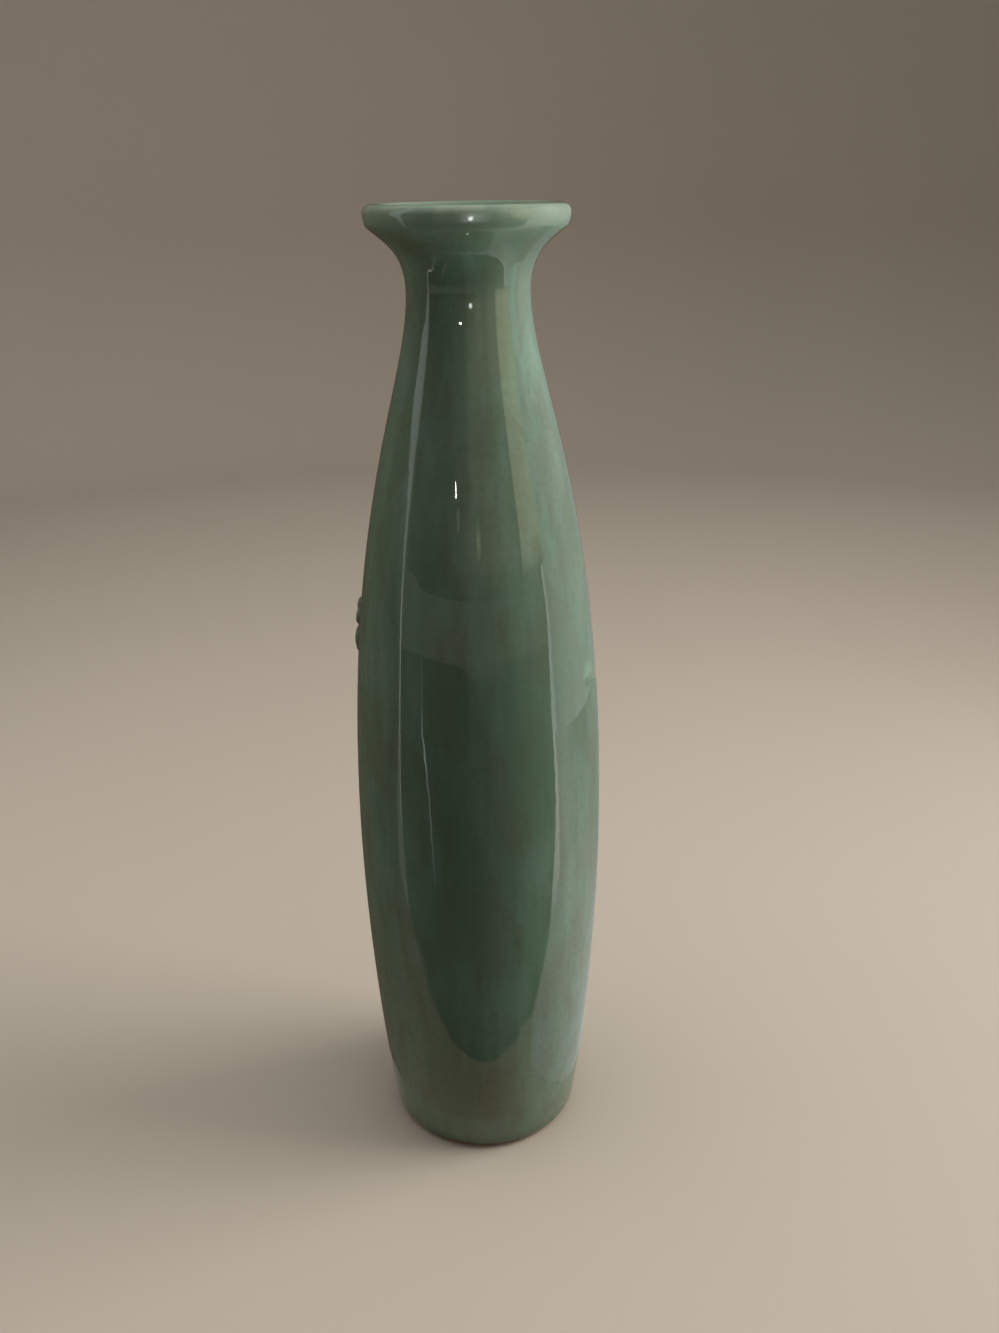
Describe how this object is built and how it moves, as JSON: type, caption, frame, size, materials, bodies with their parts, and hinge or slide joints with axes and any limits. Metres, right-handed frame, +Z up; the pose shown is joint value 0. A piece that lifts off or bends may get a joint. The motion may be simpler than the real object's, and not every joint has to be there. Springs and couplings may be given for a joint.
{
  "type": "pottery vase",
  "caption": "Tall slender round pottery vase with a narrow neck, flared lip and dry clay foot, in green glaze, with a vine of leaves and blossoms applied round the back.",
  "frame": {"origin": "centre of the foot, on the surface that the vase stands on", "axes": "+Z up along the vase's axis; -Y is the plain side that the picture shows, and +X is to its right"},
  "size_m": [0.0794, 0.0794, 0.305],
  "materials": {
    "clay": "matte",
    "glaze": "gloss",
    "lining": "gloss",
    "petal": "gloss",
    "leaf": "gloss",
    "stem": "gloss",
    "bud": "gloss"
  },
  "bodies": {
    "root": {"base_section": "clay", "shoulder_section": "clay", "neck_section": "clay", "lip_ring": "clay", "outer_glaze": "glaze", "lining_glaze": "lining", "blossom_1_petal_1": "petal", "blossom_1_petal_2": "petal", "blossom_1_petal_3": "petal", "blossom_1_petal_4": "petal", "blossom_1_petal_5": "petal", "blossom_1_eye": "bud", "blossom_2_petal_1": "petal", "blossom_2_petal_2": "petal", "blossom_2_petal_3": "petal", "blossom_2_petal_4": "petal", "blossom_2_petal_5": "petal", "blossom_2_eye": "bud", "stem_1": "stem", "stem_2": "stem", "leaf_1": "leaf", "leaf_2": "leaf", "leaf_3": "leaf", "leaf_4": "leaf", "bud_1": "bud", "bud_2": "bud", "end_bud": "bud", "stray_bud": "bud"}
  },
  "joints": []
}
